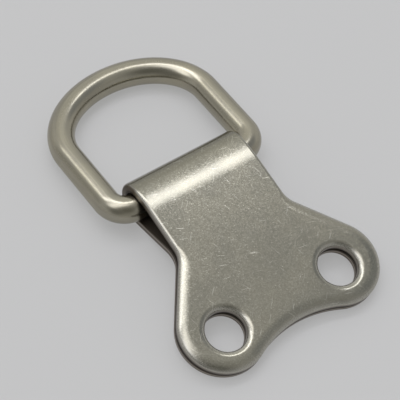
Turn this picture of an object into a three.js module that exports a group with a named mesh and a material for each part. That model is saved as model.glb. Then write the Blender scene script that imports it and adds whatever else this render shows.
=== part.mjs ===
// A two-hole picture hook lying on a table: a D-shaped wire ring swings in the eye of a folded steel plate.
// Lengths are millimetres and angles are radians. +X runs across the hook, +Y from ears to ring, +Z up.
// The table is z = 0, and the origin is the middle of the hook's footprint.
import * as THREE from "three";
import { mergeVertices } from "three/addons/utils/BufferGeometryUtils.js";

// Sheet steel that the plate is pressed from
const sheet_thickness = 0.9;

// The leaves nearly meet at the ears' lower edge, and stand open from there to the neck
const leaf_gap = 0.1;
const leaf_opening = THREE.MathUtils.degToRad(2.5);

// Plan of one leaf, measured from the line through its two hole centres
const plate_width = 22;
const hole_diameter = 4;
const hole_shift_inwards = 0.1;
const ear_radius = 4.3;
const ear_centre_height = 0.35;
const scallop_depth = 1.5;
const waist_height = 8.3;
const waist_radius = 2.5;
const eye_height = 15.1;
const neck_width = 12.5;

// Edges that pressing rounds on the outer face, wide round the leaves and narrow on neck and eye,
// and the small break on the inner one
const edge_round_width = 1.2;
const edge_round_depth = 0.45;
const neck_round_width = 0.35;
const neck_round_depth = 0.25;
const hole_round_width = 0.65;
const hole_round_depth = 0.4;
const inner_edge_break = 0.08;

// Easy bend that leads the front leaf's outer face into the eye, and the bend that lays the back leaf on it
const entry_bend_radius = 12;
const entry_turn = THREE.MathUtils.degToRad(13);
const waist_bend_radius = 1.2;

// Ring, bent from round wire
const wire_diameter = 2.7;
const wire_play = 0.12;
const ring_side_gap = 0.6;
const ring_corner_inset = 0.05;
const ring_leg_length = 8.4;
const ring_bow_rise = 6.1;
const ring_end_gap = 0.4;

// Counts of straight steps in the round stretches, and of turns in which the plate's lean settles
const ear_steps = 26;
const scallop_steps = 6;
const waist_steps = 6;
const waist_bend_steps = 4;
const entry_steps = 3;
const eye_steps = 16;
const hole_steps = 28;
const edge_round_steps = 4;
const wire_sides = 16;
const ring_steps = 112;
const lean_turns = 8;

// Sizes that follow from those above
const quarter_turn = Math.PI / 2;
const half_turn = Math.PI;
const full_turn = 2 * Math.PI;
const hole_radius = hole_diameter / 2;
const neck_half_width = neck_width / 2;
const ear_centre_x = plate_width / 2 - ear_radius;
const hole_offset = ear_centre_x - hole_shift_inwards;
const wire_radius = wire_diameter / 2;
const eye_inner_radius = wire_radius + wire_play;
const eye_outer_radius = eye_inner_radius + sheet_thickness;
const eye_middle_radius = eye_inner_radius + sheet_thickness / 2;
const folded_thickness = 2 * sheet_thickness + leaf_gap;
const ring_half_width = neck_half_width + ring_side_gap + wire_radius;
const ring_reach = ring_leg_length + ring_bow_rise;

// The plate's own axes: y from the hole line to the eye, and z = 0 on the back leaf's outer face at the ears.
// The front leaf is flat up to its entry bend, so the eye stands out behind the back leaf.
const entry_y = eye_height - (entry_bend_radius - eye_outer_radius) * Math.sin(entry_turn);
const entry_drop = (entry_bend_radius - eye_outer_radius) * (1 - Math.cos(entry_turn));
const eye_axis_z = folded_thickness - eye_outer_radius - entry_drop;

// Shoulder line: it starts at the corner of the waist and touches the ear's arc.
const waist_to_ear = new THREE.Vector2(ear_centre_x - neck_half_width, ear_centre_height - waist_height);
const shoulder_heading = waist_to_ear.angle() + Math.asin(ear_radius / waist_to_ear.length());
const shoulder_slant = shoulder_heading + quarter_turn - full_turn;

// Fillet in the waist, touching the side of the neck and the shoulder line
const waist_fillet_x = neck_half_width + waist_radius;
const waist_fillet_y = waist_height + waist_radius * Math.tan(shoulder_slant / 2);

// Shallow hollow between the ears: an arc that meets both ears without a corner
const scallop_middle_y = ear_centre_height - ear_radius + scallop_depth;
const scallop_radius = (ear_centre_x ** 2 + scallop_depth ** 2) / (2 * scallop_depth) - ear_radius;
const scallop_centre_y = scallop_middle_y - scallop_radius;
const scallop_half_angle = Math.asin(ear_centre_x / (scallop_radius + ear_radius));

// Places on a round stretch: its centre, its radius and the outward normal's angles at both ends.
// A hollow stretch has its centre outside the metal, so its points lie against the normal.
function arc(centre_x, centre_y, radius, from_angle, to_angle, steps, hollow = false) {
  const side = hollow ? -radius : radius;
  const points = [];
  for (let i = 0; i <= steps; i += 1) {
    const angle = from_angle + ((to_angle - from_angle) * i) / steps;
    const normal = new THREE.Vector2(Math.cos(angle), Math.sin(angle));
    const point = new THREE.Vector2(centre_x, centre_y).addScaledVector(normal, side);
    points.push({ point, normal });
  }
  return points;
}

// Width and depth of the edge's round: the leaves' at 0, narrowing to the neck's at 1
function round_between(narrowing) {
  return {
    width: THREE.MathUtils.lerp(edge_round_width, neck_round_width, narrowing),
    depth: THREE.MathUtils.lerp(edge_round_depth, neck_round_depth, narrowing),
  };
}

// Right side of one leaf, from the middle of the hollow between the ears, round the ear, up to the neck.
function leaf_side() {
  const down = -quarter_turn;
  const ear_start = down - scallop_half_angle;
  const scallop = arc(0, scallop_centre_y, scallop_radius, down, ear_start, scallop_steps, true);
  const ear = arc(ear_centre_x, ear_centre_height, ear_radius, ear_start, shoulder_slant, ear_steps);
  const waist = arc(waist_fillet_x, waist_fillet_y, waist_radius, shoulder_slant, 0, waist_steps, true);
  const with_round = (place, narrowing) => ({ ...place, round: round_between(narrowing) });
  return [
    ...[...scallop, ...ear.slice(1)].map((place) => with_round(place, 0)),
    ...waist.map((place, i) => with_round(place, i / waist_steps)),
  ];
}

// Place of the back leaf's middle at a height above its own hole line: it opens from the ears' lower edge.
const ear_bottom = ear_centre_height - ear_radius;
function back_leaf(height) {
  return {
    y: ear_bottom + (height - ear_bottom) * Math.cos(leaf_opening),
    z: sheet_thickness / 2 - (height - ear_bottom) * Math.sin(leaf_opening),
    turn: half_turn + leaf_opening,
  };
}

// Path of the sheet's middle from the front leaf round the eye to the back leaf, seen from the side.
// The strip leaves the eye along a slope and is bent into the back leaf where the waist's fillet ends.
const bend_foot = back_leaf(waist_fillet_y);
const bend_middle_radius = waist_bend_radius + sheet_thickness / 2;
const bend_centre_y = bend_foot.y - bend_middle_radius * Math.sin(leaf_opening);
const bend_centre_z = bend_foot.z - bend_middle_radius * Math.cos(leaf_opening);
const bend_distance = Math.hypot(eye_height - bend_centre_y, bend_centre_z - eye_axis_z);
const bend_elevation = Math.atan2(bend_centre_z - eye_axis_z, eye_height - bend_centre_y);
const slope_angle = bend_elevation + Math.asin((bend_middle_radius + eye_middle_radius) / bend_distance);
const slope_length = Math.sqrt(bend_distance ** 2 - (bend_middle_radius + eye_middle_radius) ** 2);
const entry_middle_radius = entry_bend_radius - sheet_thickness / 2;
const entry_end = entry_y + entry_middle_radius * entry_turn;
const eye_end = entry_end + eye_middle_radius * (half_turn + slope_angle - entry_turn);
const slope_end = eye_end + slope_length;
const bend_end = slope_end + bend_middle_radius * (slope_angle - leaf_opening);
const blank_length = bend_end + waist_fillet_y;

// Place of the sheet's middle and its outward normal at a distance along the flat blank.
function fold(distance) {
  if (distance <= entry_y) {
    return { y: distance, z: folded_thickness - sheet_thickness / 2, turn: 0 };
  }
  if (distance <= entry_end) {
    const turn = (distance - entry_y) / entry_middle_radius;
    const drop = entry_bend_radius - entry_middle_radius * Math.cos(turn);
    return { y: entry_y + entry_middle_radius * Math.sin(turn), z: folded_thickness - drop, turn };
  }
  if (distance <= eye_end) {
    const turn = entry_turn + (distance - entry_end) / eye_middle_radius;
    const y = eye_height + eye_middle_radius * Math.sin(turn);
    return { y, z: eye_axis_z + eye_middle_radius * Math.cos(turn), turn };
  }
  if (distance <= bend_end) {
    const left = Math.max(0, distance - slope_end) / bend_middle_radius;
    const turn = half_turn + slope_angle - left;
    const back = Math.max(0, slope_end - distance);
    const y = bend_centre_y - bend_middle_radius * Math.sin(turn) - back * Math.cos(turn);
    return { y, z: bend_centre_z - bend_middle_radius * Math.cos(turn) + back * Math.sin(turn), turn };
  }
  return back_leaf(blank_length - distance);
}

// Right side of the whole blank: one leaf, the strip for the eye and the bend, and the other leaf reversed.
function blank_side() {
  const leaf = leaf_side();
  const straight = (distance) => ({
    point: new THREE.Vector2(neck_half_width, distance),
    normal: new THREE.Vector2(1, 0),
    round: round_between(1),
  });
  const strip = [];
  const add_steps = (from, to, steps) => {
    for (let i = 0; i < steps; i += 1) {
      strip.push(straight(from + ((to - from) * i) / steps));
    }
  };
  add_steps(entry_y, entry_end, entry_steps);
  add_steps(entry_end, eye_end, eye_steps);
  strip.push(straight(eye_end));
  add_steps(slope_end, bend_end, waist_bend_steps);
  const other = leaf.map(({ point, normal, round }) => ({
    point: new THREE.Vector2(point.x, blank_length - point.y),
    normal: new THREE.Vector2(normal.x, -normal.y),
    round,
  }));
  return { points: [...leaf, ...strip, ...other.reverse()], leaf_end: leaf.length - 1 };
}

// Levels of an edge from the inner face to the outer one: height in the sheet, and inset from the outline
function edge_levels(round) {
  const levels = [
    { height: 0, inset: inner_edge_break },
    { height: inner_edge_break, inset: 0 },
  ];
  for (let i = 0; i <= edge_round_steps; i += 1) {
    const angle = (quarter_turn * i) / edge_round_steps;
    levels.push({
      height: sheet_thickness - round.depth * (1 - Math.sin(angle)),
      inset: round.width * (1 - Math.cos(angle)),
    });
  }
  return levels;
}

// The plate: the blank's faces and edges, folded into shape point by point.
function folded_plate_geometry() {
  const positions = [];
  const faces = [];
  const add_point = (x, distance, height) => {
    const { y, z, turn } = fold(distance);
    const out = height - sheet_thickness / 2;
    positions.push(x, y + out * Math.sin(turn), z + out * Math.cos(turn));
    return positions.length / 3 - 1;
  };
  const add_wall = (lower, upper) => {
    lower.forEach((a, i) => {
      const next = (i + 1) % lower.length;
      faces.push(a, lower[next], upper[next], a, upper[next], upper[i]);
    });
  };

  // Loops round the blank, up its right side and down its left side
  const { points: right, leaf_end } = blank_side();
  const left = right
    .slice(1, -1)
    .reverse()
    .map(({ point, normal, round }) => ({
      point: new THREE.Vector2(-point.x, point.y),
      normal: new THREE.Vector2(-normal.x, normal.y),
      round,
    }));
  const outline = [...right, ...left];
  const outline_levels = outline.map(({ round }) => edge_levels(round));
  const outline_loops = outline_levels[0].map((_, k) => {
    const flat = outline.map(({ point, normal }, i) => {
      return point.clone().addScaledVector(normal, -outline_levels[i][k].inset);
    });
    return { flat, index: flat.map((p, i) => add_point(p.x, p.y, outline_levels[i][k].height)) };
  });

  // Loops round the four holes, which run the other way
  const hole_centres = [0, blank_length].flatMap((y) => [-hole_offset, hole_offset].map((x) => [x, y]));
  const hole_levels = edge_levels({ width: hole_round_width, depth: hole_round_depth });
  const hole_loops = hole_centres.map(([x, y]) =>
    hole_levels.map(({ height, inset }) => {
      const flat = [];
      for (let i = 0; i < hole_steps; i += 1) {
        const spoke = new THREE.Vector2(hole_radius + inset, 0);
        spoke.rotateAround(new THREE.Vector2(), (-full_turn * i) / hole_steps);
        flat.push(spoke.add(new THREE.Vector2(x, y)));
      }
      return { flat, index: flat.map((p) => add_point(p.x, p.y, height)) };
    }),
  );
  for (const loops of [outline_loops, ...hole_loops]) {
    for (let i = 1; i < loops.length; i += 1) {
      add_wall(loops[i - 1].index, loops[i].index);
    }
  }

  // Faces: each leaf with its two holes, and plain strips from side to side between the leaves
  const last = right.length - 1;
  const mirror_of = (i) => (i === 0 || i === last ? i : outline.length - i);
  const add_face = (pick, outward) => {
    const loop = pick(outline_loops);
    const add_triangle = (a, b, c) => faces.push(a, outward ? b : c, outward ? c : b);
    const add_leaf = (contour, holes) => {
      const rims = holes.map(pick);
      const index = [...contour.map((i) => loop.index[i]), ...rims.flatMap((rim) => rim.index)];
      const contour_points = contour.map((i) => loop.flat[i]);
      const hole_points = rims.map((rim) => rim.flat);
      for (const [a, b, c] of THREE.ShapeUtils.triangulateShape(contour_points, hole_points)) {
        add_triangle(index[a], index[b], index[c]);
      }
    };
    const front = [0];
    const back = [last];
    for (let i = 1; i <= leaf_end; i += 1) {
      front.unshift(mirror_of(i));
      front.push(i);
      back.unshift(last - i);
      back.push(mirror_of(last - i));
    }
    add_leaf(front, hole_loops.slice(0, 2));
    add_leaf(back, hole_loops.slice(2));
    for (let i = leaf_end; i < last - leaf_end; i += 1) {
      const [a, b, c, d] = [i, i + 1, mirror_of(i + 1), mirror_of(i)].map((k) => loop.index[k]);
      add_triangle(a, b, c);
      add_triangle(a, c, d);
    }
  };
  add_face((loops) => loops[0], false);
  add_face((loops) => loops[loops.length - 1], true);

  const geometry = new THREE.BufferGeometry();
  geometry.setAttribute("position", new THREE.Float32BufferAttribute(positions, 3));
  geometry.setIndex(faces);
  return geometry;
}

// Middle line of the ring in its own plane: x across, y away from the axis of its straight side.
// Its two ends meet in the middle of the straight side, and its corners start just inside the eye.
class RingLine extends THREE.Curve {
  getPoint(share, target = new THREE.Vector3()) {
    const corner_x = neck_half_width - ring_corner_inset;
    const corner_radius = ring_half_width - corner_x;
    const straight = corner_x - ring_end_gap / 2;
    const corner = quarter_turn * corner_radius;
    const leg = ring_leg_length - corner_radius;
    const bow = quarter_turn * Math.sqrt((ring_half_width ** 2 + ring_bow_rise ** 2) / 2);
    const side = share < 0.5 ? 1 : -1;
    let along = (straight + corner + leg + bow) * (1 - Math.abs(1 - 2 * share));
    if (along <= straight) {
      return target.set(side * (ring_end_gap / 2 + along), 0, 0);
    }
    along -= straight;
    if (along <= corner) {
      const turn = along / corner_radius;
      const x = corner_x + corner_radius * Math.sin(turn);
      return target.set(side * x, corner_radius * (1 - Math.cos(turn)), 0);
    }
    along -= corner;
    if (along <= leg) {
      return target.set(side * ring_half_width, corner_radius + along, 0);
    }
    const turn = (quarter_turn * (along - leg)) / bow;
    const y = ring_leg_length + ring_bow_rise * Math.sin(turn);
    return target.set(side * ring_half_width * Math.cos(turn), y, 0);
  }
}

// The ring: a round section drawn along that line.
function d_ring_geometry() {
  const section = new THREE.Shape();
  for (let i = 0; i < wire_sides; i += 1) {
    const angle = (full_turn * i) / wire_sides;
    const point = new THREE.Vector2(wire_radius, 0).rotateAround(new THREE.Vector2(), angle);
    if (i === 0) {
      section.moveTo(point.x, point.y);
    } else {
      section.lineTo(point.x, point.y);
    }
  }
  const geometry = new THREE.ExtrudeGeometry(section, { extrudePath: new RingLine(), steps: ring_steps });
  geometry.deleteAttribute("normal");
  geometry.deleteAttribute("uv");
  return mergeVertices(geometry);
}

function steel(color, roughness) {
  return new THREE.MeshStandardMaterial({ color, roughness, metalness: 1 });
}

// Middle of the oval that rounds the back leaf's outer edge at the ears' lower end
const oval_foot = back_leaf(ear_bottom + edge_round_width);
const oval_out = sheet_thickness / 2 - edge_round_depth;
const oval_y = oval_foot.y - oval_out * Math.sin(leaf_opening);
const oval_z = oval_foot.z - oval_out * Math.cos(leaf_opening);

// The plate leans: that oval and the underside of the eye both touch the table.
const lean_distance = Math.hypot(eye_height - oval_y, eye_axis_z - oval_z);
const lean_offset = Math.atan2(eye_axis_z - oval_z, eye_height - oval_y);
let lean = 0;
for (let i = 0; i < lean_turns; i += 1) {
  const across = edge_round_width * Math.sin(lean - leaf_opening);
  const down = edge_round_depth * Math.cos(lean - leaf_opening);
  lean = Math.asin((eye_outer_radius - Math.hypot(across, down)) / lean_distance) - lean_offset;
}

// The ring lies back until its bow touches the table.
const ring_tilt = -Math.asin((eye_outer_radius - wire_radius) / ring_reach);

// Eye's axis on the table, with the footprint's middle at y = 0
const ears_from_eye =
  (eye_height - ear_bottom) * Math.cos(lean) +
  (folded_thickness - edge_round_depth - eye_axis_z) * Math.sin(lean);
const bow_from_eye = ring_reach * Math.cos(ring_tilt) + wire_radius;
const eye_axis = new THREE.Vector3(0, (ears_from_eye - bow_from_eye) / 2, eye_outer_radius);

const folded_plate = new THREE.Mesh(folded_plate_geometry(), steel(0x8a897c, 0.42));
folded_plate.name = "folded_plate";
folded_plate.position.set(0, -eye_height, -eye_axis_z);
const leaning_plate = new THREE.Group();
leaning_plate.position.copy(eye_axis);
leaning_plate.rotation.x = lean;
leaning_plate.add(folded_plate);

const d_ring = new THREE.Mesh(d_ring_geometry(), steel(0x9a9684, 0.3));
d_ring.name = "d_ring";
d_ring.position.copy(eye_axis);
d_ring.rotation.x = ring_tilt;

const picture_hook = new THREE.Group();
picture_hook.add(leaning_plate, d_ring);

export default picture_hook;
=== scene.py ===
import math

import bpy
from mathutils import Matrix, Vector
from mathutils.geometry import tessellate_polygon


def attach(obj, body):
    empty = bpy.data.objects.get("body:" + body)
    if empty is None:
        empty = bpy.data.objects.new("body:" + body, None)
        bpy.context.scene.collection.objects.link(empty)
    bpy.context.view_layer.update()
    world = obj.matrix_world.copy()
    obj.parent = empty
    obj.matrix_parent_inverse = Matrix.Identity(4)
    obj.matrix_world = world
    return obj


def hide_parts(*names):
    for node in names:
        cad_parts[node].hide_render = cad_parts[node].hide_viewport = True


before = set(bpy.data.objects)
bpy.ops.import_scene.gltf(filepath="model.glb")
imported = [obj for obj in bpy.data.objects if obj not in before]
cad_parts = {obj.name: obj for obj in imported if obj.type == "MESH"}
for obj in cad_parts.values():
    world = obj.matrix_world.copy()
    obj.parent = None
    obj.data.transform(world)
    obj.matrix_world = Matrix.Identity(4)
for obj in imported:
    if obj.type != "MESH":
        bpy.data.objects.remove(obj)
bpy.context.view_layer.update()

# Viewpoint
# The hook lies face up on a table. It is seen from above and from the left of its ears, through
# a long lens that is turned until the hook runs from the upper left to the lower right.
lens_data = bpy.data.cameras.new("viewpoint")
lens_data.sensor_width = 36
lens_data.lens = 143
lens_data.clip_start = 0.005
lens_data.clip_end = 20
viewpoint = bpy.data.objects.new("viewpoint", lens_data)
viewpoint.location = (-0.061775, -0.060279, 0.127864)
viewpoint.rotation_euler = [math.radians(degrees) for degrees in (33.61, -6.9, -35.668)]
bpy.context.scene.collection.objects.link(viewpoint)
bpy.context.scene.camera = viewpoint

# Folded plate
# One blank of 0.9 mm sheet steel, pierced with four holes and folded back on itself round the
# ring's straight side, so that two leaves with two ears each lie on each other. Pressing rounds
# the edges of its outer face, tumbling scuffs it, and it is plated with nickel.
mm = 0.001
sheet_thickness = 0.9 * mm
leaf_gap = 0.1 * mm
leaf_opening = math.radians(2.5)
plate_width = 22 * mm
hole_radius = 2 * mm
hole_shift_inwards = 0.1 * mm
ear_radius = 4.3 * mm
ear_centre_height = 0.35 * mm
scallop_depth = 1.5 * mm
waist_height = 8.3 * mm
waist_radius = 2.5 * mm
eye_height = 15.1 * mm
neck_half_width = 6.25 * mm
entry_bend_radius = 12 * mm
entry_turn = math.radians(13)
waist_bend_radius = 1.2 * mm
wire_radius = 1.35 * mm
wire_play = 0.12 * mm
quarter_turn = math.pi / 2

# A rounded edge has a width, along the outer face, and a depth, through the sheet.
leaf_round = (1.2 * mm, 0.45 * mm)
neck_round = (0.35 * mm, 0.25 * mm)
hole_round = (0.65 * mm, 0.4 * mm)
inner_edge_break = 0.08 * mm

# The facets of each round stretch.
scallop_steps = 18
ear_steps = 60
waist_steps = 18
entry_steps = 14
eye_steps = 72
waist_bend_steps = 12
hole_steps = 96
outer_round_steps = 12
inner_break_steps = 3

eye_inner_radius = wire_radius + wire_play
eye_outer_radius = eye_inner_radius + sheet_thickness
eye_middle_radius = eye_inner_radius + sheet_thickness / 2
folded_thickness = 2 * sheet_thickness + leaf_gap
ear_centre_x = plate_width / 2 - ear_radius
hole_offset = ear_centre_x - hole_shift_inwards
entry_y = eye_height - (entry_bend_radius - eye_outer_radius) * math.sin(entry_turn)
entry_drop = (entry_bend_radius - eye_outer_radius) * (1 - math.cos(entry_turn))
eye_axis_z = folded_thickness - eye_outer_radius - entry_drop

waist_to_ear = (ear_centre_x - neck_half_width, ear_centre_height - waist_height)
waist_to_ear_length = math.hypot(*waist_to_ear)
shoulder_slant = (
    math.atan2(waist_to_ear[1], waist_to_ear[0])
    + math.asin(ear_radius / waist_to_ear_length)
    + quarter_turn
)
waist_fillet_x = neck_half_width + waist_radius
waist_fillet_y = waist_height + waist_radius * math.tan(shoulder_slant / 2)
scallop_middle_y = ear_centre_height - ear_radius + scallop_depth
scallop_radius = (ear_centre_x**2 + scallop_depth**2) / (2 * scallop_depth) - ear_radius
scallop_centre_y = scallop_middle_y - scallop_radius
scallop_half_angle = math.asin(ear_centre_x / (scallop_radius + ear_radius))


def round_between(narrowing):
    """Width and depth of the edge's round: the leaves' at 0, narrowing to the neck's at 1."""
    return [wide + (narrow - wide) * narrowing for wide, narrow in zip(leaf_round, neck_round)]


def arc_places(centre, radius, start, end, steps, hollow=False, narrows=False):
    """Places on a round stretch of the blank's edge, each with its outward heading and round."""
    places = []
    for step in range(steps + 1):
        angle = start + (end - start) * step / steps
        heading = Vector((math.cos(angle), math.sin(angle)))
        place = Vector(centre) + heading * (-radius if hollow else radius)
        places.append((place, heading, round_between(step / steps if narrows else 0)))
    return places


scallop_centre = (0, scallop_centre_y)
ear_centre = (ear_centre_x, ear_centre_height)
waist_centre = (waist_fillet_x, waist_fillet_y)
ear_start = -quarter_turn - scallop_half_angle
scallop = arc_places(
    scallop_centre, scallop_radius, -quarter_turn, ear_start, scallop_steps, hollow=True
)
ear = arc_places(ear_centre, ear_radius, ear_start, shoulder_slant, ear_steps)
waist = arc_places(
    waist_centre, waist_radius, shoulder_slant, 0, waist_steps, hollow=True, narrows=True
)
leaf_side = [*scallop, *ear[1:], *waist]

# The back leaf opens from the ears' lower edge.
ear_bottom = ear_centre_height - ear_radius


def back_leaf(height):
    """Place (y, z) and turn of the back leaf's middle, at a height above its own holes."""
    above = height - ear_bottom
    y = ear_bottom + above * math.cos(leaf_opening)
    return y, sheet_thickness / 2 - above * math.sin(leaf_opening), math.pi + leaf_opening


# The sheet's middle goes up the front leaf, round the eye, down a slope and up the back leaf.
bend_foot_y, bend_foot_z, _ = back_leaf(waist_fillet_y)
bend_middle_radius = waist_bend_radius + sheet_thickness / 2
bend_centre_y = bend_foot_y - bend_middle_radius * math.sin(leaf_opening)
bend_centre_z = bend_foot_z - bend_middle_radius * math.cos(leaf_opening)
bend_distance = math.hypot(eye_height - bend_centre_y, bend_centre_z - eye_axis_z)
bend_elevation = math.atan2(bend_centre_z - eye_axis_z, eye_height - bend_centre_y)
both_radii = bend_middle_radius + eye_middle_radius
slope_angle = bend_elevation + math.asin(both_radii / bend_distance)
slope_length = math.sqrt(bend_distance**2 - both_radii**2)
entry_middle_radius = entry_bend_radius - sheet_thickness / 2
entry_end = entry_y + entry_middle_radius * entry_turn
eye_end = entry_end + eye_middle_radius * (math.pi + slope_angle - entry_turn)
slope_end = eye_end + slope_length
bend_end = slope_end + bend_middle_radius * (slope_angle - leaf_opening)
blank_length = bend_end + waist_fillet_y


def fold(distance):
    """Place (y, z) and turn of the sheet's middle, at a distance from the front leaf's holes."""
    if distance <= entry_y:
        return distance, folded_thickness - sheet_thickness / 2, 0.0
    if distance <= entry_end:
        turn = (distance - entry_y) / entry_middle_radius
        drop = entry_bend_radius - entry_middle_radius * math.cos(turn)
        return entry_y + entry_middle_radius * math.sin(turn), folded_thickness - drop, turn
    if distance <= eye_end:
        turn = entry_turn + (distance - entry_end) / eye_middle_radius
        y = eye_height + eye_middle_radius * math.sin(turn)
        return y, eye_axis_z + eye_middle_radius * math.cos(turn), turn
    if distance <= bend_end:
        turn = math.pi + slope_angle - max(0.0, distance - slope_end) / bend_middle_radius
        back = max(0.0, slope_end - distance)
        y = bend_centre_y - bend_middle_radius * math.sin(turn) - back * math.cos(turn)
        return y, bend_centre_z - bend_middle_radius * math.cos(turn) + back * math.sin(turn), turn
    return back_leaf(blank_length - distance)


def strip_places(start, end, steps):
    """Places on a straight stretch of the neck's edge, each with its outward heading and round."""
    heights = [start + (end - start) * step / steps for step in range(steps)]
    return [(Vector((neck_half_width, y)), Vector((1, 0)), round_between(1)) for y in heights]


blank_side = [
    *leaf_side,
    *strip_places(entry_y, entry_end, entry_steps),
    *strip_places(entry_end, eye_end, eye_steps),
    *strip_places(eye_end, slope_end, 1),
    *strip_places(slope_end, bend_end, waist_bend_steps),
    *[
        (Vector((place.x, blank_length - place.y)), Vector((heading.x, -heading.y)), edge_round)
        for place, heading, edge_round in reversed(leaf_side)
    ],
]


def edge_levels(round_width, round_depth):
    """Height, inset, outward lean and upward lean of an edge, from inner face to outer face."""
    levels = []
    for step in range(inner_break_steps + 1):
        angle = quarter_turn * (1 - step / inner_break_steps)
        height = inner_edge_break * (1 - math.sin(angle))
        inset = inner_edge_break * (1 - math.cos(angle))
        levels.append((height, inset, math.cos(angle), -math.sin(angle)))
    for step in range(outer_round_steps + 1):
        angle = quarter_turn * step / outer_round_steps
        out, up = math.cos(angle) / round_width, math.sin(angle) / round_depth
        size = math.hypot(out, up)
        height = sheet_thickness - round_depth * (1 - math.sin(angle))
        levels.append((height, round_width * (1 - math.cos(angle)), out / size, up / size))
    return levels


# The plate leans on the underside of its eye and on the oval that rounds its ears' lower edge.
# The oval's lowest point moves as the plate leans, and a few rounds settle both.
lean_rounds = 8
leaf_round_width, leaf_round_depth = leaf_round
oval_foot_y, oval_foot_z, _ = back_leaf(ear_bottom + leaf_round_width)
oval_out = sheet_thickness / 2 - leaf_round_depth
oval_y = oval_foot_y - oval_out * math.sin(leaf_opening)
oval_z = oval_foot_z - oval_out * math.cos(leaf_opening)
lean_distance = math.hypot(eye_height - oval_y, eye_axis_z - oval_z)
lean_offset = math.atan2(eye_axis_z - oval_z, eye_height - oval_y)
lean = 0.0
for _ in range(lean_rounds):
    oval_drop = math.hypot(
        leaf_round_width * math.sin(lean - leaf_opening),
        leaf_round_depth * math.cos(lean - leaf_opening),
    )
    lean = math.asin((eye_outer_radius - oval_drop) / lean_distance) - lean_offset

# The ring lies back until its bow is on the table. The origin is halfway between that bow and
# the ears, so the plate's place follows from the ring's reach.
ring_leg_length = 8.4 * mm
ring_bow_rise = 6.1 * mm
ring_reach = ring_leg_length + ring_bow_rise
ring_tilt = -math.asin((eye_outer_radius - wire_radius) / ring_reach)
ears_from_eye = (eye_height - ear_bottom) * math.cos(lean)
ears_from_eye += (folded_thickness - leaf_round_depth - eye_axis_z) * math.sin(lean)
bow_from_eye = ring_reach * math.cos(ring_tilt) + wire_radius
eye_axis = Vector((0, (ears_from_eye - bow_from_eye) / 2, eye_outer_radius))
plate_to_table = (
    Matrix.Translation(eye_axis)
    @ Matrix.Rotation(lean, 4, "X")
    @ Matrix.Translation((0, -eye_height, -eye_axis_z))
)


class SheetMesh:
    """The folded sheet, with each vertex's place on the blank and how far it faces out."""

    def __init__(self):
        self.points, self.normals, self.faces = [], [], []
        self.blank, self.facing = [], []

    def loops(self, edge):
        """Closed lines along an edge of the blank, one at each level of its rounding."""
        stacks = [edge_levels(*edge_round) for _, _, edge_round in edge]
        return [self.loop(edge, [stack[k] for stack in stacks]) for k in range(len(stacks[0]))]

    def loop(self, edge, levels):
        """One such line: the numbers of its vertices, and their places on the flat blank."""
        index = []
        flat = []
        for (place, heading, _), (height, inset, out, up) in zip(edge, levels):
            x, distance = place - heading * inset
            y, z, turn = fold(distance)
            face = Vector((0, math.sin(turn), math.cos(turn)))
            along = Vector((0, math.cos(turn), -math.sin(turn)))
            point = Vector((x, y, z)) + face * (height - sheet_thickness / 2)
            normal = (Vector((heading.x, 0, 0)) + along * heading.y) * out + face * up
            index.append(len(self.points))
            flat.append(Vector((x, distance, 0)))
            self.points.append(plate_to_table @ point)
            self.normals.append((plate_to_table.to_3x3() @ normal).normalized())
            self.blank.append((x, distance, height))
            self.facing.append(up)
        return index, flat

    def wall(self, lower, upper):
        """The faces between two such lines."""
        for i in range(len(lower)):
            j = (i + 1) % len(lower)
            self.faces.append((lower[i], lower[j], upper[j], upper[i]))


sheet = SheetMesh()
left_side = [
    (Vector((-place.x, place.y)), Vector((-heading.x, heading.y)), edge_round)
    for place, heading, edge_round in reversed(blank_side[1:-1])
]
outline = blank_side + left_side
outline_loops = sheet.loops(outline)
hole_loops = []
for centre_y in (0, blank_length):
    for centre_x in (-hole_offset, hole_offset):
        rim = []
        for step in range(hole_steps):
            angle = -2 * math.pi * step / hole_steps
            spoke = Vector((math.cos(angle), math.sin(angle)))
            rim.append((Vector((centre_x, centre_y)) + spoke * hole_radius, -spoke, hole_round))
        hole_loops.append(sheet.loops(rim))
for loops in [outline_loops, *hole_loops]:
    for lower, upper in zip(loops, loops[1:]):
        sheet.wall(lower[0], upper[0])

last = len(blank_side) - 1
leaf_end = len(leaf_side) - 1


def mirrored(i):
    """The outline's place that faces place i across the plate's middle line."""
    return i if i in (0, last) else len(outline) - i


def add_face(level, outward):
    """The inner or the outer face: both leaves with their holes, and the strip between them."""
    index, flat = outline_loops[level]
    to_middle = range(leaf_end, 0, -1)
    from_middle = range(leaf_end + 1)
    front = [mirrored(i) for i in to_middle] + list(from_middle)
    back = [last - i for i in to_middle] + [mirrored(last - i) for i in from_middle]
    for contour, holes in ((front, hole_loops[:2]), (back, hole_loops[2:])):
        loops = [[flat[i] for i in contour]] + [hole[level][1] for hole in holes]
        vertices = [index[i] for i in contour] + [i for hole in holes for i in hole[level][0]]
        for corners in tessellate_polygon(loops):
            a, b, c = (vertices[k] for k in corners)
            place_a, place_b, place_c = (Vector(sheet.blank[k][:2]) for k in (a, b, c))
            turns_left = (place_b - place_a).cross(place_c - place_a) > 0
            sheet.faces.append((a, b, c) if turns_left == outward else (a, c, b))
    for i in range(leaf_end, last - leaf_end):
        a, b, c, d = (index[k] for k in (i, i + 1, mirrored(i + 1), mirrored(i)))
        sheet.faces.append((a, b, c, d) if outward else (a, d, c, b))


add_face(0, outward=False)
add_face(-1, outward=True)

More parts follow.
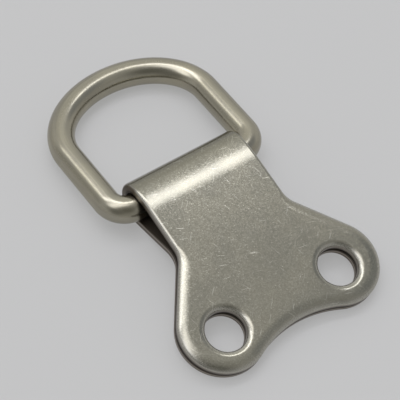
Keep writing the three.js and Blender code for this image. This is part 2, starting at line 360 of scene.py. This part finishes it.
plate_mesh = bpy.data.meshes.new("pressed_plate")
plate_mesh.from_pydata(sheet.points, [], sheet.faces)
plate_mesh.validate()
plate_mesh.shade_smooth()
plate_mesh.normals_split_custom_set_from_vertices(sheet.normals)
place_layer = plate_mesh.attributes.new("blank_place", "FLOAT_VECTOR", "POINT")
place_layer.data.foreach_set("vector", [part for place in sheet.blank for part in place])
facing_layer = plate_mesh.attributes.new("faces_out", "FLOAT", "POINT")
facing_layer.data.foreach_set("value", sheet.facing)
pressed_plate = bpy.data.objects.new("pressed_plate", plate_mesh)
bpy.context.scene.collection.objects.link(pressed_plate)


def feed(tree, socket, value):
    """Links a socket to another node's output, or sets its value."""
    if isinstance(value, bpy.types.NodeSocket):
        tree.links.new(value, socket)
    else:
        socket.default_value = value


def place_node(tree, kind, inputs=(), **settings):
    """Adds a node, sets its properties, and feeds each named input."""
    made = tree.nodes.new(kind)
    for name, value in settings.items():
        setattr(made, name, value)
    for name, value in dict(inputs).items():
        feed(tree, made.inputs[name], value)
    return made


def new_finish(name):
    """A material, its node tree and its shader."""
    finish = bpy.data.materials.new(name)
    finish.use_nodes = True
    return finish, finish.node_tree, finish.node_tree.nodes["Principled BSDF"]


def new_effect(name, inputs, outputs):
    """A shader node group with named inputs and outputs; returns it, its inputs and its end."""
    effect = bpy.data.node_groups.new(name, "ShaderNodeTree")
    for label, kind, value in inputs:
        socket = effect.interface.new_socket(label, in_out="INPUT", socket_type=kind)
        if value is not None:
            socket.default_value = value
    for label, kind in outputs:
        effect.interface.new_socket(label, in_out="OUTPUT", socket_type=kind)
    return effect, effect.nodes.new("NodeGroupInput").outputs, effect.nodes.new("NodeGroupOutput")


def math_node(tree, operation, first, second=0.0):
    inputs = {0: first, 1: second}
    return place_node(tree, "ShaderNodeMath", inputs, operation=operation).outputs[0]


def times(tree, first, second):
    return math_node(tree, "MULTIPLY", first, second)


def add_layers(tree, base, layers):
    """Adds to a base value each layer's mask times its weight."""
    for mask, weight in layers:
        base = math_node(tree, "ADD", base, times(tree, mask, weight))
    return base


def spread(tree, value, low, high, to_low=0.0, to_high=1.0):
    """Smoothly maps low..high to to_low..to_high, and holds the ends."""
    ends = {"From Min": low, "From Max": high, "To Min": to_low, "To Max": to_high}
    mapped = place_node(
        tree, "ShaderNodeMapRange", {"Value": value, **ends}, interpolation_type="SMOOTHSTEP"
    )
    return mapped.outputs["Result"]


def fade(tree, value, low, high, most=1.0):
    """Falls smoothly from its most at low to nothing at high."""
    return spread(tree, value, low, high, most, 0.0)


def blend_colours(tree, share, first, second, blend_type="MIX"):
    """Blends the first colour into the second by a share, or adds it where the type is ADD."""
    mixed = place_node(tree, "ShaderNodeMix", data_type="RGBA", blend_type=blend_type)
    sockets = [i for i in mixed.inputs if i.enabled]
    for socket, value in zip(sockets, (share, first, second)):
        feed(tree, socket, value)
    return next(o for o in mixed.outputs if o.enabled)


# Tumbling leaves short fine scuffs in every direction: long cells, each with one mark or none.
# The cells lie in three layers, each turned and shifted its own way, and waver a little. A
# cell is one mark long and four marks wide.
waver_scale = 900.0
waver_size = 0.4 * mm
scuff_layers = ((0.35, 0.0), (1.25, 3.1), (2.3, 7.7))
cell_axes = (("X", "Length", 1.0), ("Y", "Width", 0.25), ("Z", "Length", 1.0))
mark_edge = (0.12, 0.42)
faintest_mark = 0.35

scuffs, given, done = new_effect(
    "tumbling_scuffs",
    (
        ("Place", "NodeSocketVector", None),
        ("Length", "NodeSocketFloat", 0.6 * mm),
        ("Width", "NodeSocketFloat", 0.05 * mm),
        ("Share", "NodeSocketFloat", 0.4),
    ),
    (("Marks", "NodeSocketFloat"),),
)
waver = place_node(
    scuffs,
    "ShaderNodeTexNoise",
    {"Vector": given["Place"], "Scale": waver_scale, "Detail": 1.0},
)
wavering = place_node(
    scuffs,
    "ShaderNodeVectorMath",
    {0: waver.outputs["Color"], 1: (waver_size, waver_size, waver_size), 2: given["Place"]},
    operation="MULTIPLY_ADD",
)
marks = None
for turn, shift in scuff_layers:
    turned = place_node(
        scuffs,
        "ShaderNodeVectorRotate",
        {"Vector": wavering.outputs[0], "Angle": turn},
        rotation_type="Z_AXIS",
    )
    cell = place_node(scuffs, "ShaderNodeCombineXYZ")
    for axis, size, per_size in cell_axes:
        per_metre = math_node(scuffs, "DIVIDE", per_size, given[size])
        scuffs.links.new(per_metre, cell.inputs[axis])
    scaled = place_node(
        scuffs,
        "ShaderNodeVectorMath",
        {0: turned.outputs[0], 1: cell.outputs[0], 2: (shift, shift, shift)},
        operation="MULTIPLY_ADD",
    )
    cells = place_node(
        scuffs, "ShaderNodeTexVoronoi", {"Vector": scaled.outputs[0], "Scale": 1.0}
    ).outputs
    chance = place_node(scuffs, "ShaderNodeSeparateColor", {"Color": cells["Color"]}).outputs
    there = math_node(scuffs, "LESS_THAN", chance["Red"], given["Share"])
    mark = times(scuffs, fade(scuffs, cells["Distance"], *mark_edge), there)
    strength = spread(scuffs, chance["Green"], 0.0, 1.0, faintest_mark, 1.0)
    mark = times(scuffs, mark, strength)
    marks = mark if marks is None else math_node(scuffs, "MAXIMUM", marks, mark)
scuffs.links.new(marks, done.inputs["Marks"])

# Satin nickel is a fine even grain over a soft uneven ground, with faint cloudy stains.
satin, given, done = new_effect(
    "satin_ground",
    (
        ("Place", "NodeSocketVector", None),
        ("Grain Size", "NodeSocketFloat", 0.12 * mm),
        ("Cloud Size", "NodeSocketFloat", 4 * mm),
    ),
    (("Grain", "NodeSocketFloat"), ("Ripple", "NodeSocketFloat"), ("Clouds", "NodeSocketFloat")),
)
for label, size, per_size, detail, rough in (
    ("Grain", "Grain Size", 1.0, 3.0, 0.6),
    ("Ripple", "Cloud Size", 4.0, 2.0, 0.5),
    ("Clouds", "Cloud Size", 1.0, 4.0, 0.6),
):
    per_metre = math_node(satin, "DIVIDE", per_size, given[size])
    noise = place_node(
        satin,
        "ShaderNodeTexNoise",
        {"Vector": given["Place"], "Scale": per_metre, "Detail": detail, "Roughness": rough},
    )
    satin.links.new(noise.outputs["Fac"], done.inputs[label])

# The tones of the plated sheet, and how much of each shows.
cloud_span = (0.35, 0.65)
grain_span = (0.3, 0.7)
light_nickel = (0.388, 0.371, 0.302, 1)
clouded_nickel = (0.34, 0.328, 0.272, 1)
pitted_nickel, pitted_share = (0.15, 0.14, 0.11, 1), 0.3
# Burnished edges are lighter: partly real polish, partly a painted sheen.
burnish_and_sheen_nickel, burnish_and_sheen_share = (0.47, 0.457, 0.41, 1), 0.8
# Painted shade on the fold round the eye.
fold_shade_nickel, fold_shade_share = (0.2, 0.19, 0.15, 1), 0.42
scuffed_nickel, scuffed_share = (0.6, 0.58, 0.5, 1), 0.35
scratched_nickel, scratched_share = (0.66, 0.64, 0.57, 1), 0.55
cut_nickel, cut_share = (0.27, 0.236, 0.2, 1), 0.8
inner_nickel = (0.3, 0.25, 0.19, 1)
# Painted shade on the back leaf's cut edge and on the fold's rims.
edge_shade_nickel, back_edge_shade_share, fold_rim_shade_share = (0.14, 0.114, 0.093, 1), 0.85, 0.6
# A painted highlight along the back leaf's cut edge.
edge_glint_nickel, edge_glint_share = (0.5, 0.45, 0.38, 1), 0.6
# Painted shade and dirt in the seam.
seam_shade_and_dirt, seam_share = (0.05, 0.04, 0.03, 1), 0.95

# How far a surface faces out of the sheet, 1 on its outer face, 0 on its cut edge and -1 on its
# inner face, tells where a tone belongs: each fades between the two values of its span.
burnish_and_sheen_span = (0.85, 0.99)
fold_rim_shade_span = (0.6, 0.97)
cut_span = (0.02, 0.5)
inner_span = (-0.9, -0.2)

# The painted highlight on the back leaf's edge and the seam's painted shade and dirt lie at
# heights above the inner face, and the fold's painted shade fades over a length of the blank.
edge_glint_start = (0.1 * mm, 0.18 * mm)
edge_glint_end = (0.24 * mm, 0.36 * mm)
seam_span = (0.06 * mm, 0.26 * mm)
seam_slope = 0.6
seam_shift_on_back = 0.1 * mm
rolled_fade = 0.4 * mm

# The satin's roughness from grain to grain, what burnishing and cutting add to it, and the
# relief's depth with the height of each of its marks as a share of that depth.
satin_roughness = (0.16, 0.23)
burnished_roughness, cut_roughness = 0.12, 0.08
inner_metallic = 0.2
sheet_relief_depth = 0.005 * mm
grain_height, ripple_height = 0.35, 1.2
scuff_height, scratch_height = -0.3, -0.4

plate_finish, tree, shader = new_finish("scuffed_nickel_plate")
on_blank = place_node(tree, "ShaderNodeAttribute", attribute_name="blank_place").outputs["Vector"]
faces_out = place_node(tree, "ShaderNodeAttribute", attribute_name="faces_out").outputs["Fac"]
in_sheet = place_node(tree, "ShaderNodeSeparateXYZ", {"Vector": on_blank}).outputs
ground = place_node(
    tree,
    "ShaderNodeGroup",
    {"Place": on_blank, "Grain Size": 0.14 * mm, "Cloud Size": 5 * mm},
    node_tree=satin,
).outputs
fine = place_node(
    tree,
    "ShaderNodeGroup",
    {"Place": on_blank, "Length": 0.35 * mm, "Width": 0.025 * mm, "Share": 0.3},
    node_tree=scuffs,
).outputs

# Clouds and pits over the whole sheet, and edges that tumbling burnishes, with a painted sheen.
clouds = spread(tree, ground["Clouds"], *cloud_span)
nickel = blend_colours(tree, clouds, light_nickel, clouded_nickel)
speckle = spread(tree, ground["Grain"], *grain_span)
pitted = blend_colours(tree, pitted_share, nickel, pitted_nickel)
nickel = blend_colours(tree, speckle, pitted, nickel)
burnish_and_sheen = times(tree, fade(tree, faces_out, *burnish_and_sheen_span), burnish_and_sheen_share)
nickel = blend_colours(tree, burnish_and_sheen, nickel, burnish_and_sheen_nickel)

# A painted shade darkens the sheet where it is rolled round the eye, most along its rims.
past_entry = spread(tree, in_sheet["Y"], entry_end, entry_end + rolled_fade)
rolled = times(tree, past_entry, fade(tree, in_sheet["Y"], eye_end - rolled_fade, eye_end))
nickel = blend_colours(tree, times(tree, rolled, fold_shade_share), nickel, fold_shade_nickel)
fold_rim_shade = times(tree, fade(tree, faces_out, *fold_rim_shade_span, fold_rim_shade_share), rolled)

# Bright scuffs and a few long scratches.
nickel = blend_colours(tree, times(tree, fine["Marks"], scuffed_share), nickel, scuffed_nickel)
long = place_node(
    tree,
    "ShaderNodeGroup",
    {"Place": on_blank, "Length": 1.6 * mm, "Width": 0.028 * mm, "Share": 0.05},
    node_tree=scuffs,
).outputs
nickel = blend_colours(tree, times(tree, long["Marks"], scratched_share), nickel, scratched_nickel)

# Cut edges and the inner faces are duller and browner. A painted shade darkens the back leaf's
# cut edge most of all, and a painted highlight lies along it near its inner face.
cut = fade(tree, faces_out, *cut_span)
nickel = blend_colours(tree, times(tree, cut, cut_share), nickel, cut_nickel)
inside = fade(tree, faces_out, *inner_span)
nickel = blend_colours(tree, inside, nickel, inner_nickel)
on_back = spread(tree, in_sheet["Y"], blank_length / 2 - mm, blank_length / 2 + mm)
edge_shade = times(tree, on_back, times(tree, cut, back_edge_shade_share))
# The fold's rims take the same painted shade.
edge_shade = math_node(tree, "MAXIMUM", edge_shade, fold_rim_shade)
nickel = blend_colours(tree, edge_shade, nickel, edge_shade_nickel)
below_edge_glint = spread(tree, in_sheet["Z"], *edge_glint_start)
edge_glint = times(tree, below_edge_glint, fade(tree, in_sheet["Z"], *edge_glint_end))
edge_glint = times(tree, times(tree, edge_glint, on_back), times(tree, cut, edge_glint_share))
nickel = blend_colours(tree, edge_glint, nickel, edge_glint_nickel)

# Painted shade and dirt fill the seam between the leaves, less far on the back leaf.
into_seam = times(tree, in_sheet["Z"], seam_slope)
into_seam = add_layers(tree, into_seam, ((on_back, seam_shift_on_back),))
seam = times(tree, cut, fade(tree, into_seam, *seam_span, seam_share))
nickel = blend_colours(tree, seam, nickel, seam_shade_and_dirt)

tree.links.new(nickel, shader.inputs["Base Color"])
metallic = spread(tree, inside, 0.0, 1.0, 1.0, inner_metallic)
tree.links.new(metallic, shader.inputs["Metallic"])
dull = spread(tree, ground["Grain"], *grain_span, *satin_roughness)
dull = add_layers(tree, dull, ((burnish_and_sheen, burnished_roughness), (cut, cut_roughness)))
tree.links.new(dull, shader.inputs["Roughness"])
sheet_marks = (
    (fine["Marks"], scuff_height),
    (long["Marks"], scratch_height),
    (ground["Ripple"], ripple_height),
)
height = add_layers(tree, times(tree, ground["Grain"], grain_height), sheet_marks)


def emboss(tree, shader, height, depth):
    """Raises a surface by its height, where 1 stands for the depth given."""
    relief = place_node(
        tree, "ShaderNodeBump", {"Height": height, "Strength": 1.0, "Distance": depth}
    )
    tree.links.new(relief.outputs["Normal"], shader.inputs["Normal"])


emboss(tree, shader, height, sheet_relief_depth)
plate_mesh.materials.append(plate_finish)

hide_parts("folded_plate")
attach(pressed_plate, "plate")

# D-ring
# Round steel wire of 2.7 mm, bent into a D and plated. Its straight side turns in the plate's
# eye, where its two ends meet, so they are never seen. Its bow lies back on the table.
ring_side_gap = 0.6 * mm
ring_corner_inset = 0.05 * mm
ring_end_gap = 0.4 * mm
ring_half_width = neck_half_width + ring_side_gap + wire_radius
ring_corner_radius = ring_half_width - (neck_half_width - ring_corner_inset)
ring_to_table = Matrix.Translation(eye_axis) @ Matrix.Rotation(ring_tilt, 4, "X")
bow_steps = 96

route = [(ring_end_gap / 2, 0), (ring_half_width, 0)]
for step in range(bow_steps + 1):
    angle = math.pi * step / bow_steps
    bow_y = ring_leg_length + ring_bow_rise * math.sin(angle)
    route.append((ring_half_width * math.cos(angle), bow_y))
route += [(-ring_half_width, 0), (-ring_end_gap / 2, 0)]
route_mesh = bpy.data.meshes.new("bent_ring")
route_points = [ring_to_table @ Vector((x, y, 0)) for x, y in route]
route_mesh.from_pydata(route_points, [(i, i + 1) for i in range(len(route) - 1)], [])
bent_ring = bpy.data.objects.new("bent_ring", route_mesh)
bpy.context.scene.collection.objects.link(bent_ring)

# The tones of the plated wire. Drawing through a die leaves fine streaks along its length.
light_wire = (0.41, 0.385, 0.305, 1)
clouded_wire = (0.37, 0.35, 0.285, 1)
streaked_wire, streaked_share = (0.24, 0.215, 0.15, 1), 0.22
streak_scale = 2600.0
streak_span = (0.35, 0.65)
drawn_out = (0.04, 1, 1)
wire_roughness, streak_roughness = (0.17, 0.23), 0.05
wire_relief_depth = 0.0025 * mm
wire_grain_height, wire_ripple_height, streak_height = 0.3, 1.0, 1.2

ring_finish, tree, shader = new_finish("drawn_nickel_wire")
shader.inputs["Metallic"].default_value = 1.0
along = place_node(tree, "ShaderNodeAttribute", attribute_name="along_wire")
across = place_node(tree, "ShaderNodeAttribute", attribute_name="across_wire")
straight = place_node(tree, "ShaderNodeSeparateXYZ", {"Vector": across.outputs["Vector"]}).outputs
on_wire = place_node(
    tree,
    "ShaderNodeCombineXYZ",
    {"X": along.outputs["Fac"], "Y": straight["X"], "Z": straight["Y"]},
).outputs[0]
ground = place_node(
    tree,
    "ShaderNodeGroup",
    {"Place": on_wire, "Grain Size": 0.12 * mm, "Cloud Size": 4 * mm},
    node_tree=satin,
).outputs
drawn = place_node(tree, "ShaderNodeVectorMath", {0: on_wire, 1: drawn_out}, operation="MULTIPLY")
streaks = place_node(
    tree,
    "ShaderNodeTexNoise",
    {"Vector": drawn.outputs[0], "Scale": streak_scale, "Detail": 2.0},
).outputs["Fac"]
streak = spread(tree, streaks, *streak_span)
clouds = spread(tree, ground["Clouds"], *cloud_span)
nickel = blend_colours(tree, clouds, light_wire, clouded_wire)
nickel = blend_colours(tree, times(tree, streak, streaked_share), nickel, streaked_wire)
tree.links.new(nickel, shader.inputs["Base Color"])
dull = spread(tree, ground["Grain"], *grain_span, *wire_roughness)
dull = add_layers(tree, dull, ((streak, streak_roughness),))
tree.links.new(dull, shader.inputs["Roughness"])
wire_marks = ((ground["Ripple"], wire_ripple_height), (streaks, streak_height))
height = add_layers(tree, times(tree, ground["Grain"], wire_grain_height), wire_marks)
emboss(tree, shader, height, wire_relief_depth)

# The wire follows its route, with its corners rounded and its ends closed, and carries how far
# along and where across it each point is.
wire_tree = bpy.data.node_groups.new("wire_along_route", "GeometryNodeTree")
wire_tree.interface.new_socket("Route", in_out="INPUT", socket_type="NodeSocketGeometry")
wire_sizes = {}
for name, kind, value in (
    ("Wire Radius", "NodeSocketFloat", wire_radius),
    ("Corner Radius", "NodeSocketFloat", ring_corner_radius),
    ("Corner Steps", "NodeSocketInt", 16),
    ("Sides", "NodeSocketInt", 48),
    ("Finish", "NodeSocketMaterial", ring_finish),
):
    socket = wire_tree.interface.new_socket(name, in_out="INPUT", socket_type=kind)
    wire_sizes[socket.identifier] = value
wire_tree.interface.new_socket("Wire", in_out="OUTPUT", socket_type="NodeSocketGeometry")
given = wire_tree.nodes.new("NodeGroupInput").outputs
curve = place_node(wire_tree, "GeometryNodeMeshToCurve", {"Mesh": given["Route"]})
rounded = place_node(
    wire_tree,
    "GeometryNodeFilletCurve",
    {
        "Curve": curve.outputs["Curve"],
        "Radius": given["Corner Radius"],
        "Count": given["Corner Steps"],
        "Limit Radius": True,
    },
    mode="POLY",
)
length = place_node(wire_tree, "GeometryNodeSplineParameter").outputs["Length"]
measured = place_node(
    wire_tree,
    "GeometryNodeStoreNamedAttribute",
    {"Geometry": rounded.outputs["Curve"], "Name": "along_wire", "Value": length},
    data_type="FLOAT",
    domain="POINT",
)
section = place_node(
    wire_tree,
    "GeometryNodeCurvePrimitiveCircle",
    {"Resolution": given["Sides"], "Radius": given["Wire Radius"]},
)
spot = place_node(wire_tree, "GeometryNodeInputPosition").outputs["Position"]
marked = place_node(
    wire_tree,
    "GeometryNodeStoreNamedAttribute",
    {"Geometry": section.outputs["Curve"], "Name": "across_wire", "Value": spot},
    data_type="FLOAT_VECTOR",
    domain="POINT",
)
swept = place_node(
    wire_tree,
    "GeometryNodeCurveToMesh",
    {
        "Curve": measured.outputs["Geometry"],
        "Profile Curve": marked.outputs["Geometry"],
        "Fill Caps": True,
    },
)
smooth = place_node(wire_tree, "GeometryNodeSetShadeSmooth", {"Geometry": swept.outputs["Mesh"]})
real = place_node(
    wire_tree, "GeometryNodeRealizeInstances", {"Geometry": smooth.outputs["Geometry"]}
)
coated = place_node(
    wire_tree,
    "GeometryNodeSetMaterial",
    {"Geometry": real.outputs["Geometry"], "Material": given["Finish"]},
)
made_wire = wire_tree.nodes.new("NodeGroupOutput")
wire_tree.links.new(coated.outputs["Geometry"], made_wire.inputs["Wire"])

wire_modifier = bent_ring.modifiers.new("wire", "NODES")
wire_modifier.node_group = wire_tree
for identifier, value in wire_sizes.items():
    wire_modifier[identifier] = value
evaluated = bent_ring.evaluated_get(bpy.context.evaluated_depsgraph_get())
ring_mesh = bpy.data.meshes.new_from_object(evaluated)
ring_mesh.name = "bent_ring"
bent_ring.modifiers.clear()
bent_ring.data = ring_mesh

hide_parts("d_ring")
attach(bent_ring, "ring")

# Table and studio
# A plain pale grey table under one long soft box, in a grey room with softly lighter and darker
# walls and one bright window high up, which the satin nickel mirrors. Part of the table's
# brightness is its own, so that it looks even and still keeps the hook's shadow.
table_reach = 3.0
table_grey = (0.66, 0.66, 0.66, 1)
even_grey, even_share = (0.552, 0.552, 0.552, 1), 0.55

table_mesh = bpy.data.meshes.new("table")
table_corners = [
    (x * table_reach, y * table_reach, 0) for x, y in ((-1, -1), (1, -1), (1, 1), (-1, 1))
]
table_mesh.from_pydata(table_corners, [], [(0, 1, 2, 3)])
table = bpy.data.objects.new("table", table_mesh)
bpy.context.scene.collection.objects.link(table)
table_finish, tree, shader = new_finish("grey_table")
shader.inputs["Base Color"].default_value = table_grey
shader.inputs["Roughness"].default_value = 0.9
shader.inputs["Specular IOR Level"].default_value = 0.0
path = place_node(tree, "ShaderNodeLightPath").outputs
lit_evenly = place_node(tree, "ShaderNodeEmission", {"Color": even_grey}).outputs["Emission"]
looked_at = math_node(tree, "MAXIMUM", path["Is Camera Ray"], path["Is Glossy Ray"])
looked_at = math_node(tree, "MAXIMUM", looked_at, path["Is Transmission Ray"])
even = place_node(
    tree,
    "ShaderNodeMixShader",
    {"Fac": times(tree, looked_at, even_share), 1: shader.outputs["BSDF"], 2: lit_evenly},
)
tree.links.new(even.outputs["Shader"], tree.nodes["Material Output"].inputs["Surface"])
table_mesh.materials.append(table_finish)

box_distance = 0.4
box_width, box_depth = 0.44, 0.072
box_brightness = 3.3
box_colour = (0.97, 0.98, 1.05)
box_away = Vector((0.09, 0.365, 0.927)).normalized()
box_long_side = Vector((0.97, -0.25, 0))

lamp = bpy.data.lights.new("overhead", "AREA")
lamp.shape = "RECTANGLE"
lamp.size, lamp.size_y = box_width, box_depth
lamp.energy = box_brightness * math.pi * box_width * box_depth
lamp.color = box_colour
soft_box = bpy.data.objects.new("overhead", lamp)
box_side = (box_long_side - box_away * box_away.dot(box_long_side)).normalized()
box_turn = Matrix((box_side, box_away.cross(box_side), box_away)).transposed().to_4x4()
soft_box.matrix_world = Matrix.Translation(box_away * box_distance) @ box_turn
soft_box.visible_camera = False
bpy.context.scene.collection.objects.link(soft_box)

# Each patch of the room: its direction, the degrees from there at which it begins to fade and
# at which it is gone, and its colour.
room_patches = (
    ((0.38, 0.72, 0.58), 10, 32, (0.8, 0.8, 0.78, 1)),
    ((-0.76, 0.55, 0.35), 6, 20, (0.48, 0.48, 0.47, 1)),
    ((-0.35, -0.58, 0.73), 5, 68, (0.35, 0.35, 0.34, 1)),
    ((-0.72, -0.5, 0.48), 6, 26, (0.24, 0.24, 0.23, 1)),
    ((-0.2, -0.6, 0.77), 2, 28, (0.2, 0.2, 0.185, 1)),
    ((0.6, -0.65, 0.47), 15, 40, (0.48, 0.48, 0.48, 1)),
    ((0.7, -0.17, 0.69), 12, 24, (0.37, 0.385, 0.41, 1)),
    ((-0.34, 0.55, 0.76), 2, 10, (2.0, 2.0, 1.92, 1)),
    ((0.17, 0.44, 0.88), 2, 10, (1.4, 1.4, 1.34, 1)),
)
room_low_grey = (0.61, 0.61, 0.61, 1)
room_high_grey = (0.66, 0.66, 0.66, 1)

# The window's direction, and for its length and its width: their axis, half size and soft edge.
window_brightness = 2.2
window_coolness = 1.06
window_middle = Vector((-0.269, 0.079, 0.96)).normalized()
window_sides = (((0.98, 0.2, 0.22), 0.4, 0.14), ((-0.2, 0.98, 0.0), 0.15, 0.12))
window_full_height = 0.3

world = bpy.data.worlds.new("room")
bpy.context.scene.world = world
world.use_nodes = True
tree = world.node_tree
into_room = place_node(tree, "ShaderNodeTexCoord").outputs["Generated"]
up = place_node(tree, "ShaderNodeSeparateXYZ", {"Vector": into_room}).outputs["Z"]


def along_axis(tree, axis):
    """How far a direction into the room goes along an axis: 1 where they are the same."""
    inputs = {0: into_room, 1: axis.normalized()}
    product = place_node(tree, "ShaderNodeVectorMath", inputs, operation="DOT_PRODUCT")
    return product.outputs["Value"]


room_colour = blend_colours(tree, spread(tree, up, 0.0, 1.0), room_low_grey, room_high_grey)
for direction, full, gone, colour in room_patches:
    near = along_axis(tree, Vector(direction))
    gone_at, full_at = math.cos(math.radians(gone)), math.cos(math.radians(full))
    room_colour = blend_colours(tree, spread(tree, near, gone_at, full_at), room_colour, colour)
window = window_brightness
for axis, half, edge in window_sides:
    offset = Vector(axis).normalized().dot(window_middle)
    apart = math_node(tree, "SUBTRACT", along_axis(tree, Vector(axis)), offset)
    apart = math_node(tree, "ABSOLUTE", apart)
    window = times(tree, window, fade(tree, apart, half - edge, half + edge))
window = times(tree, window, spread(tree, up, 0.0, window_full_height))
cool = times(tree, window, window_coolness)
glow = place_node(tree, "ShaderNodeCombineXYZ", {"X": window, "Y": window, "Z": cool})
room_colour = blend_colours(tree, 1.0, room_colour, glow.outputs[0], "ADD")
tree.links.new(room_colour, tree.nodes["Background"].inputs["Color"])

bpy.context.scene.view_settings.view_transform = "Standard"
